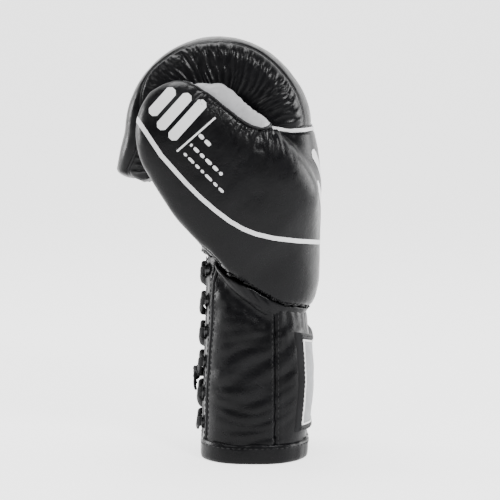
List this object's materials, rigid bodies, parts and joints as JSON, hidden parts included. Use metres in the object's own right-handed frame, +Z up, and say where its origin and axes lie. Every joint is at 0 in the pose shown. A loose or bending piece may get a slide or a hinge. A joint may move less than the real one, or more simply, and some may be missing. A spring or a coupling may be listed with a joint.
{
  "type": "lace-up boxing glove",
  "caption": "Right-hand lace-up leather boxing glove standing on its cuff, curled fist and thumb, laced palm-side cuff, padded and lined.",
  "frame": {"origin": "middle of the cuff's mouth, on the plane the hem stands on", "axes": "+Z up the forearm to the knuckles, +X out of the back of the hand, -Y the thumb side"},
  "size_m": [0.1585, 0.1453, 0.3287],
  "materials": {
    "black_leather": "glossy smooth-grain cowhide",
    "white_leather": "semi-gloss smooth leather",
    "black_piping": "glossy rolled leather piping",
    "lining_fabric": "woven satin lining",
    "foam": "closed-cell foam",
    "lace_cord": "flat braided cotton lace",
    "eyelet_metal": "black lacquered brass eyelet",
    "patch_border": "black leather, matte",
    "patch_line": "raised white woven edge",
    "patch_field": "grey woven twill"
  },
  "bodies": {
    "cuff": {"cuff_back_panel": "black_leather", "cuff_back_padding": "foam", "cuff_back_lining": "lining_fabric", "cuff_back_hem_binding": "black_leather", "wrist_patch_backing": "patch_border", "wrist_patch_frame": "patch_line", "wrist_patch_field": "patch_field", "lace_first_strand": "lace_cord", "lace_second_strand": "lace_cord", "lace_knot": "lace_cord"},
    "tongue": {"tongue_leather": "black_leather", "tongue_padding": "foam", "tongue_lining": "lining_fabric"},
    "hand": {"hand_back_panel": "black_leather", "palm_panel": "black_leather", "knuckle_band": "white_leather", "hand_back_padding": "foam", "palm_padding": "foam", "hand_lining": "lining_fabric", "grip_bar": "black_leather", "thumb_web_pad": "foam"},
    "fingers": {"knuckle_panel": "black_leather", "finger_inner_panel": "black_leather", "finger_gusset_thumb_side": "black_leather", "finger_gusset_little_side": "black_leather", "knuckle_welt_thumb_side": "black_piping", "knuckle_welt_little_side": "black_piping", "knuckle_padding_outer": "foam", "finger_padding_inner": "foam", "finger_lining": "lining_fabric"},
    "thumb": {"thumb_outer_panel": "black_leather", "thumb_inner_panel": "white_leather", "thumb_welt": "black_piping", "thumb_padding": "foam", "thumb_lining": "lining_fabric"},
    "thumb_flap": {"thumb_flap_panel": "black_leather", "thumb_flap_eyelet_facing": "black_leather", "thumb_flap_padding": "foam", "thumb_flap_lining": "lining_fabric", "thumb_flap_welt": "black_piping", "thumb_flap_hem_binding": "black_leather", "thumb_flap_eyelets": "eyelet_metal"},
    "little_flap": {"little_flap_panel": "black_leather", "little_flap_eyelet_facing": "black_leather", "little_flap_padding": "foam", "little_flap_lining": "lining_fabric", "little_flap_welt": "black_piping", "little_flap_hem_binding": "black_leather", "little_flap_eyelets": "eyelet_metal"}
  },
  "joints": [
    {"name": "wrist_flex", "type": "hinge", "parent": "cuff", "child": "hand", "pos_m": [0.002, 0, 0.137], "axis": [0, 1, 0], "range_deg": [-6, 6], "stiffness_Nm_per_rad": 6},
    {"name": "finger_curl", "type": "hinge", "parent": "hand", "child": "fingers", "pos_m": [-0.0085, 0, 0.256], "axis": [0, 1, 0], "range_deg": [-8, 5], "stiffness_Nm_per_rad": 6},
    {"name": "thumb_swing", "type": "hinge", "parent": "hand", "child": "thumb", "pos_m": [-0.02121, -0.0835, 0.2192], "axis": [0.7071, 0, 0.7071], "range_deg": [0, 10], "stiffness_Nm_per_rad": 2.5},
    {"name": "thumb_flap_open", "type": "hinge", "parent": "cuff", "child": "thumb_flap", "pos_m": [0.017, -0.052, 0.06], "axis": [0, 0, 1], "range_deg": [0, 10], "stiffness_Nm_per_rad": 1.5, "deforming": ["lace_first_strand", "lace_second_strand"]},
    {"name": "little_flap_open", "type": "hinge", "parent": "cuff", "child": "little_flap", "pos_m": [0.017, 0.052, 0.06], "axis": [0, 0, -1], "range_deg": [0, 10], "stiffness_Nm_per_rad": 1.5, "deforming": ["lace_first_strand", "lace_second_strand"]},
    {"name": "tongue_swing", "type": "hinge", "parent": "cuff", "child": "tongue", "pos_m": [-0.02, 0, 0.141], "axis": [0, 1, 0], "range_deg": [-6, 0], "stiffness_Nm_per_rad": 0.3}
  ],
  "couplings": [
    {"joint": "little_flap_open", "follows": "thumb_flap_open", "ratio": 1}
  ]
}
